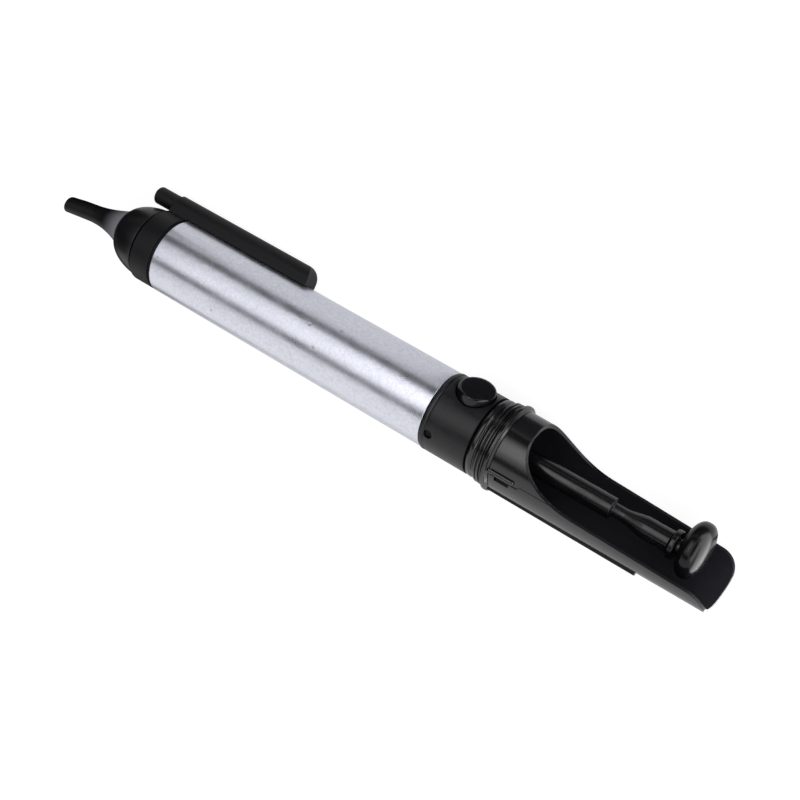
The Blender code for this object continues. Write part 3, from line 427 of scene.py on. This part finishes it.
# the lip, a narrow groove and the shell, which is drawn out in steps of 1 mm
housing_bore_r, lip_r, groove_r, housing_r = 9.0, 10.18, 9.9, 10.15
housing = turned([(85.2, housing_bore_r), (85.2, 10.1), (85.35, lip_r), (85.95, lip_r),
                  (86.15, groove_r), (86.35, groove_r), (86.55, housing_r)]
                 + [(87 + i, housing_r) for i in range(11)]
                 + [(98.0, housing_r), (98.0, housing_bore_r), (85.2, housing_bore_r)], 128)
button_station, well_r, pin_station, pin_hole_r = 92.5, 4.95, 87.5, 1.2
cut(housing, upright_bar(button_station, "button", 4.5, 8.0, well_r, 96))
for pin_side in ("top", "bottom"):
    cut(housing, upright_bar(pin_station, pin_side, 6.0, 5.0, pin_hole_r, 32))
break_edges(housing, 0.12, 2)
# ABS, glossy at first and now scuffed to a dull grey with paler rubs 2 or 3 mm long
dress(housing, "housing_shell", "pump_body", "rear_housing",
      moulded("scuffed_abs_housing", "#121215", "#232227", (0.36, 0.52), 3.0, 0.2, 0.006,
              sheen=0.33))

# ---- Button ---------------------------------------------------------------------------------
# The round trigger button in the housing's well, in gloss black ABS with a slightly crowned top.
# Pressing it lifts the latch plate off the rod.
button_r = 4.65
button = upright_bar(button_station, "button", 6.3, 4.5, button_r, 96)
bpy.ops.object.mode_set(mode="EDIT")
bpy.ops.mesh.select_all(action="DESELECT")
bpy.ops.object.mode_set(mode="OBJECT")
crown_face = min(button.data.polygons, key=lambda face: face.center.y)
crown_face.select = True
bpy.ops.object.mode_set(mode="EDIT")
# the shoulder's steep rings, then the crown's flat ones
for rise, inset in ((0.24, 0.067), (0.2, 0.183), (0.114, 0.204), (0.06, 0.45), (0.08, 0.95),
                    (0.06, 1.1), (0.05, 1.1)):
    bpy.ops.mesh.inset(thickness=inset * MM, depth=0)
    bpy.ops.transform.translate(value=(0, -rise * MM, 0))
bpy.ops.object.mode_set(mode="OBJECT")
break_edges(button, 0.1)
# ABS polished in the mould and by thumbs: a clear gloss with faint fine wear
dress(button, "button_cap", "trigger", "button",
      moulded("gloss_abs_button", "#101012", "#161618", (0.14, 0.24), 2.0, 0.5, 0.002, sheen=0.33))

# ---- Guard ----------------------------------------------------------------------------------
# A tapered sleeve in gloss black polystyrene that screws on behind the housing. Two ridges and a
# flange ring stiffen its front, ribs run along its sides, and a long opening sweeps down from the
# flange to bare the plunger for the thumb. One round edge runs all the way round the opening.
sleeve_back, sleeve_r, sleeve_bore_r = 162.3, 10.2, 9.25
sleeve = turned([(104.2, sleeve_bore_r), (104.2, 9.9), (105.1, 9.9), (105.15, sleeve_r),
                 (sleeve_back, 9.9), (sleeve_back, 8.95), (105.6, sleeve_bore_r),
                 (104.2, sleeve_bore_r)], 160)

# the cutter: an outline seen from the pump's side, drawn out across the sleeve
opening_front, sweep_back, sweep_depth = 110.6, 127.5, -0.95
sweep = []
for i in range(41):
    k = i / 40
    a, b, c, d = (1 - k) ** 3, 3 * k * (1 - k) ** 2, 3 * k ** 2 * (1 - k), k ** 3
    sweep.append((opening_front * (a + b) + 116.6 * c + sweep_back * d,
                  sleeve_r * a + 6.6 * b + sweep_depth * (c / 2 + d)))
corner_r = 5.2
corner = [(sleeve_back - corner_r + corner_r * sin(radians(t)), -7.15 + corner_r * cos(radians(t)))
          for t in range(0, 91, 6)]
cutter_outline = [(opening_front, 12.5)] + sweep + corner + [(164, -7.15), (164, 12.5)]
cutter = slab(cutter_outline, -12.5, 25.0)
opening_turn = 0.8
turn_round(cutter, opening_turn)
cut(sleeve, cutter)
only(sleeve)
bpy.ops.object.mode_set(mode="EDIT")
bpy.ops.mesh.select_all(action="SELECT")
bpy.ops.mesh.remove_doubles(threshold=0.1 * MM)
bpy.ops.object.mode_set(mode="OBJECT")
break_edges(sleeve, 0.16, 3, 40)

# the crowned band in front
ring_front, ring_bore_r = 98.3, 9.3
ring_outline = [(ring_front, ring_bore_r), (ring_front, 9.75), (98.55, 10.0), (98.9, 10.14),
                (99.2, 10.2), (99.45, 10.2), (99.75, 10.13), (100.0, 9.98), (100.15, 9.75)]
# two ridges, the second a little higher
ring_outline += [(100.35, 9.75), (100.9, 10.45), (101.05, 10.55), (101.4, 10.55), (101.5, 10.15),
                 (101.65, 10.15), (101.85, 10.5), (102.0, 10.6), (102.35, 10.6), (102.5, 10.02)]
# the flange: a crest, a step behind it, and a slope down to a sharp groove before the sleeve
ring_outline += [(102.8, 10.02), (103.2, 10.35), (103.5, 11.05), (103.6, 11.2), (104.2, 11.17),
                 (104.3, 11.1), (104.42, 10.6), (104.9, 10.1), (104.95, ring_bore_r),
                 (ring_front, ring_bore_r)]
ring = turned(ring_outline, 160)
break_edges(ring, 0.05, 2, 24)
union(sleeve, ring)

rib_front, rib_length, rib_out, rib_angle, rib_draft = 103.9, 40.7, 10.3, 139.5, 0.56
slot_r, slot_back, bar_r, bar_back = 1.0, 112.3, 0.65, 111.2
for way in (1, -1):
    # a long rib with drafted sides, narrower at the top
    rib = straight_bar(rib_front + rib_length / 2, rib_out, rib_length, 0.9, 1.6)
    for vert in rib.data.vertices:
        if vert.co.y < place(0, rib_out).y:
            vert.co.z = barrel_front.z + (vert.co.z - barrel_front.z) * rib_draft
    break_edges(rib, 0.12)
    turn_round(rib, rib_angle * way)
    union(sleeve, rib)
    # a short rib: a round bar with a round end, in a shallow round-ended slot
    side = "top" if way > 0 else "bottom"
    cut(sleeve, upright_bar(slot_back, side, 9.9, 2.0, slot_r, 32))
    slot = slab([(105.5, 9.9), (105.5, 11.5), (slot_back, 11.5), (slot_back, 9.9)],
                -slot_r, 2 * slot_r)
    turn_round(slot, 90.0 * way)
    cut(sleeve, slot)
    round_end = [(bar_back + bar_r * sin(radians(a)), max(bar_r * cos(radians(a)), 0.02))
                 for a in range(0, 91, 10)]
    union(sleeve, turned([(104.9, bar_r)] + round_end, 32, (0.0, 9.95 * way)))
# the window beside the upper short rib, and the line where the mould's halves met
window = slab([(106.7, 9.6), (106.7, 10.8), (110.6, 10.8), (110.6, 9.6)], -0.55, 1.1)
turn_round(window, 98.2)
cut(sleeve, window)
seam = slab([(113.2, 9.95), (113.2, 10.8), (124.0, 10.8), (124.0, 9.9)], -0.09, 0.18)
turn_round(seam, 90.0)
cut(sleeve, seam)
# Polystyrene: a hard clear gloss, softened by fine handling marks
dress(sleeve, "guard", "pump_body", "guard_sleeve",
      moulded("gloss_styrene_guard", "#0f0f11", "#151518", (0.22, 0.3), 4.0, 0.6, 0.003, 1.59))
# inside, the core of the mould left the same polystyrene dull
sleeve.data.materials.append(
    moulded("dull_styrene_bore", "#232328", "#2a2a30", (0.5, 0.65), 4.0, 0.4, 0.006, 1.59,
            sheen=0.08))
inside_r = 9.8
for face in sleeve.data.polygons:
    out = face.center - barrel_front
    out.x = 0
    if out.length < inside_r * MM and face.normal.dot(out.normalized()) < -0.15:
        face.material_index = 1

# ---- Plunger rod ----------------------------------------------------------------------------
# The black acetal rod that carries the piston. The latch plate drops behind the shoulder of its
# waisted part when the pump is set, and years of that have polished the ramp.
rod_r, waist_r, end_r = 2.7, 1.7, 2.0
rod_outline = [(70.0, 1.4), (70.0, rod_r), (132.8, rod_r), (133.1, waist_r), (136.0, waist_r)]
# the ramp from the waist back up to the full width
rod_outline += [(136.0 + 5.5 * i / 12, waist_r + i / 24 + (1 - cos(pi * i / 12)) / 4)
                for i in range(1, 13)]
rod_outline += [(148.0, rod_r), (148.0, end_r), (153.9, end_r)]
rod = turned(rod_outline, 64)
break_edges(rod, 0.12)
# Acetal: a waxy gloss with long wear marks
dress(rod, "rod", "plunger", "plunger_rod",
      moulded("acetal_rod", "#101012", "#1a1a1d", (0.22, 0.36), 3.0, 0.4, 0.004, 1.48))

# ---- Stop collar and knob -------------------------------------------------------------------
# A black ring pressed on the thin end of the rod, and behind it the rounded thumb knob, turned
# from black acetal and polished. The knob sits a little off the rod's axis.
stop_front, stop_back, stop_bore_r, stop_r = 148.3, 149.8, 2.3, 3.65
stop = turned([(stop_front, stop_bore_r), (stop_front, stop_r), (stop_back, stop_r),
               (stop_back, stop_bore_r), (stop_front, stop_bore_r)], 64)
break_edges(stop, 0.3)
dress(stop, "stop_ring", "plunger", "stop_collar",
      moulded("acetal_stop_ring", "#111113", "#1c1c1f", (0.22, 0.36), 2.0, 0.4, 0.004, 1.48))

knob_station, knob_half, knob_r, knob_offset = 153.75, 3.2, 7.1, 1.15
knob_outline = []
for i in range(1, 48):
    turn = radians(180 - 180 * i / 48)
    along = abs(cos(turn)) ** 0.8 * (1 if cos(turn) > 0 else -1)
    knob_outline.append((knob_station + knob_half * along, knob_r * abs(sin(turn)) ** 0.8))
knob = turned(knob_outline, 96, (knob_offset * clip_side, knob_offset * clip_up))
# Polished acetal: the clearest gloss on the pump
dress(knob, "thumb_knob", "plunger", "knob",
      moulded("polished_acetal_knob", "#101012", "#161619", (0.2, 0.3), 3.0, 0.5, 0.002, 1.48,
              sheen=0.28))

# ---- Pieces inside --------------------------------------------------------------------------
# What is hidden in the barrel and the housing keeps its CAD shape: springs of drawn steel wire, a
# nylon piston with its O-ring and zinc-plated screw, the stamped latch plate, the rubber bumper,
# the guide and the cleaning needle. Each gets the finish of the real thing.


def bare_metal(name, dark, bright, polish, streak):
    """A metal part straight from its tool: two tones and a roughness that vary in streaks along
    the pump, and the streaks' width."""
    finish, shader = new_finish(name, metallic=1.0)
    tree = finish.node_tree.links
    where = add_node(finish, "TexCoord").outputs["Object"]
    along = add_node(finish, "Mapping", {"Scale": (0.15, 1.0, 1.0)}, {"Vector": where})
    streaks = add_node(finish, "TexNoise", {"Scale": 1 / (streak * MM), "Detail": 4.0},
                       {"Vector": along.outputs[0]})
    colour = add_node(finish, "Mix", {6: linear(dark), 7: linear(bright)},
                      {0: streaks.outputs[0]}, data_type="RGBA")
    tree.new(colour.outputs[2], shader.inputs["Base Color"])
    gloss = add_node(finish, "MapRange", {1: 0.3, 2: 0.7, 3: polish[0], 4: polish[1]},
                     {0: streaks.outputs[0]})
    tree.new(gloss.outputs[0], shader.inputs["Roughness"])
    return finish


inner_finishes = {
    # drawn spring wire: bright, with fine draw lines
    "main_spring": bare_metal("drawn_spring_wire", "#a2a3a6", "#bcbdc0", (0.22, 0.36), 0.3),
    "button_spring": bare_metal("fine_spring_wire", "#a2a3a6", "#bcbdc0", (0.22, 0.36), 0.2),
    # stainless needle, ground bright
    "cleaning_needle": bare_metal("ground_needle_steel", "#b6b7b9", "#cdced0", (0.18, 0.3), 0.2),
    # zinc plating: pale and slightly warm
    "piston_screw": bare_metal("zinc_plated_screw", "#bdbdb6", "#d2d2cb", (0.25, 0.4), 0.6),
    # stamped steel, with the rolling's grain
    "latch_plate": bare_metal("stamped_latch_steel", "#a3a4a5", "#b9babb", (0.28, 0.42), 0.5),
    # oil-blackened steel pins, bare at their scratched ends
    "lock_pin_top": bare_metal("blackened_pin_top", "#19191b", "#2a2a2c", (0.5, 0.7), 0.4),
    "lock_pin_bottom": bare_metal("blackened_pin_bottom", "#19191b", "#2a2a2c", (0.5, 0.7), 0.4),
    # nylon: off-white and waxy
    "piston": moulded("natural_nylon", "#dedbd2", "#e8e6de", (0.38, 0.5), 3.0, 0.4, 0.004),
    # nitrile rubber: dull black, a little greased
    "piston_seal": moulded("greased_nitrile", "#1d1d1d", "#2b2b2b", (0.3, 0.6), 1.0, 0.3, 0.006,
                           1.52),
    "nose_seal": moulded("nitrile_seal", "#1d1d1d", "#2b2b2b", (0.45, 0.7), 1.0, 0.3, 0.006, 1.52),
    "bumper": moulded("rubber_bumper", "#222222", "#303030", (0.6, 0.8), 1.5, 0.3, 0.012, 1.52),
    # plain moulded ABS
    "rod_guide": moulded("moulded_abs_guide", "#1b1b1e", "#27272b", (0.3, 0.45), 4.0, 0.4, 0.005),
}
for node, finish in inner_finishes.items():
    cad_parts[node].material_slots[0].material = finish
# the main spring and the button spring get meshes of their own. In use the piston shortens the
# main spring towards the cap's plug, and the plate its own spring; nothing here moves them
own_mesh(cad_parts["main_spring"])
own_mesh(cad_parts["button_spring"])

# ---- Floor, lamps and camera ----------------------------------------------------------------
# A white table, a softbox beside the camera with a brighter core, a second one off the knob's
# end, and a white surround. Black and grey cards, seen only in reflections, stand round the pump
# and paint dark reflections that draw its dark lines, and a white one that glows, seen only in
# reflections too, is a painted highlight on the back of the knob.
bpy.ops.object.select_all(action="DESELECT")
bpy.ops.mesh.primitive_plane_add(size=8.0)
floor = bpy.context.object
floor.name = "floor"
paper, paper_shader = new_finish("white_table")
paper_shader.inputs["Base Color"].default_value = linear("#9a9a9a")
paper_shader.inputs["Roughness"].default_value = 0.8
paper_shader.inputs["Specular IOR Level"].default_value = 0.0
path = add_node(paper, "LightPath")
seen = add_node(paper, "Math", links={0: path.outputs["Is Camera Ray"],
                                      1: path.outputs["Is Transmission Ray"]}, operation="MAXIMUM")
bright = add_node(paper, "Math", {1: 0.89}, {0: seen.outputs[0]}, operation="MULTIPLY")
glow = add_node(paper, "Math", {1: 0.58}, {0: path.outputs["Is Glossy Ray"], 2: bright.outputs[0]},
                operation="MULTIPLY_ADD")
paper.node_tree.links.new(glow.outputs[0], paper_shader.inputs["Emission Strength"])
paper_shader.inputs["Emission Color"].default_value = (1, 1, 1, 1)
floor.data.materials.append(paper)

surround = bpy.data.worlds.new("white_surround")
surround.use_nodes = True
bpy.context.scene.world = surround
room = surround.node_tree.nodes["Background"]
path = add_node(surround, "LightPath")
seen = add_node(surround, "Math", links={0: path.outputs["Is Camera Ray"],
                                         1: path.outputs["Is Glossy Ray"]}, operation="MAXIMUM")
shown = add_node(surround, "Math", links={0: seen.outputs[0],
                                          1: path.outputs["Is Transmission Ray"]},
                 operation="MAXIMUM")
level = add_node(surround, "MapRange", {3: 0.3, 4: 1.0}, {0: shown.outputs[0]})
surround.node_tree.links.new(level.outputs[0], room.inputs["Strength"])
room.inputs["Color"].default_value = (1, 1, 1, 1)

pump_middle = place(62.9)
view_rise = 49.5


def softbox(name, way, distance, length, width, radiance):
    """A rectangular lamp that faces the pump, long along it."""
    bpy.ops.object.select_all(action="DESELECT")
    bpy.ops.object.light_add(type="AREA", location=pump_middle + way * distance)
    lamp = bpy.context.object
    lamp.name = name
    lamp.data.shape = "RECTANGLE"
    lamp.data.size = length
    lamp.data.size_y = width
    lamp.data.energy = radiance * pi * length * width
    lamp.rotation_mode = "QUATERNION"
    lamp.data.color = (0.97, 0.98, 1.0)
    side = (Vector((1, 0, 0)) - way * way.x).normalized()
    lamp.rotation_quaternion = Matrix((side, way.cross(side), way)).transposed().to_quaternion()
    lamp.visible_camera = False


def towards(along, degrees_down):
    """A way out of the pump: so far along it, and turned down to the front from the camera's."""
    rise = radians(view_rise - degrees_down)
    return Vector((along, -cos(rise), sin(rise))).normalized()


softbox("key_softbox", towards(0.0, -2.5), 0.9, 2.2, 0.9, 0.2)
softbox("key_core", towards(0.18, -1.0), 0.86, 0.13, 0.5, 2.3)
softbox("end_softbox", towards(-1.8, -2.0), 1.0, 0.6, 1.3, 2.6)

# painted reflections: only glossy rays see these cards, as dark lines or as a glowing highlight
cards = (  # a card's colour, how strongly it glows, and its corners in metres
    ("front_card", "#1c1c1e", 0.0,
     ((-0.1, -0.5, 0.03), (1.9, -0.5, 0.03), (1.9, -0.5, 0.25), (-0.1, -0.5, 0.25))),
    ("top_card", "#1c1c1e", 0.0,
     ((-0.2, -0.104, 0.7), (1.9, -0.104, 0.7), (1.9, 0.109, 0.7), (-0.2, 0.109, 0.7))),
    ("floor_card", "#6a6a72", 0.0,
     ((-0.1, -0.014, 0.0005), (-0.0185, -0.014, 0.0005), (-0.0165, -0.021, 0.0005),
      (0.15, -0.499, 0.0005), (-0.1, -0.499, 0.0005))),
    ("rim_card", "#1c1c1e", 0.0,
     ((-0.1, -0.0009, 0.0005), (-0.05, -0.0009, 0.0005), (-0.05, 0.0007, 0.0005),
      (-0.1, 0.0007, 0.0005))),
    ("nose_card", "#1c1c1e", 0.0,
     ((0.85, -1.0, 0.0), (0.85, 0.6, 0.0), (0.85, 0.6, 0.86), (0.85, -1.0, 0.86))),
    ("nose_floor_card", "#1c1c1e", 0.0,
     ((0.09, -0.1, 0.0005), (0.85, -0.1, 0.0005), (0.85, 0.3, 0.0005), (0.09, 0.3, 0.0005))),
    ("camera_card", "#1c1c1e", 0.0,
     ((-0.2, -0.861, 0.316), (-1.05, -0.861, 0.316), (-1.05, -0.177, 0.9),
      (-0.2, -0.177, 0.9))),
    # a glowing white card, no lamp: a painted highlight on the knob's rear and on edges facing
    # back
    ("painted_highlight_card", "#ffffff", 3.0,
     ((-0.9, -0.35, 0.0005), (-0.102, -0.35, 0.0005), (-0.102, 0.45, 0.0005),
      (-0.9, 0.45, 0.0005))),
)
for name, colour, lit, corners in cards:
    card_mesh = bpy.data.meshes.new(name)
    card_mesh.from_pydata(corners, [], [range(len(corners))])
    card = bpy.data.objects.new(name, card_mesh)
    bpy.context.scene.collection.objects.link(card)
    reflection_paint, reflection_paint_shader = new_finish(name + "_felt")
    reflection_paint_shader.inputs["Base Color"].default_value = linear(colour)
    reflection_paint_shader.inputs["Roughness"].default_value = 0.9
    reflection_paint_shader.inputs["Emission Color"].default_value = (1, 1, 1, 1)
    reflection_paint_shader.inputs["Emission Strength"].default_value = lit
    card.data.materials.append(reflection_paint)
    card.visible_camera = False
    card.visible_diffuse = False
    card.visible_shadow = False
    card.visible_transmission = False

# the camera as fitted to the photograph: above and beyond the knob, looking towards the nozzle
camera = bpy.data.objects.new("camera", bpy.data.cameras.new("camera"))
bpy.context.scene.collection.objects.link(camera)
camera.data.lens = 72.23
camera.data.sensor_width = 36.0
right = Vector((-0.803, -0.168, -0.572)).normalized()
forward = Vector((0.372, 0.608, -0.700)).normalized()
above = right.cross(forward).normalized()
forward = above.cross(right).normalized()
stand = Matrix((right, above, -forward)).transposed().to_4x4()
camera_distance = 0.3597
stand.translation = place(218.3) + towards(0.0, 0.0) * camera_distance
camera.matrix_world = stand
bpy.context.scene.camera = camera
bpy.context.scene.view_settings.view_transform = "Standard"
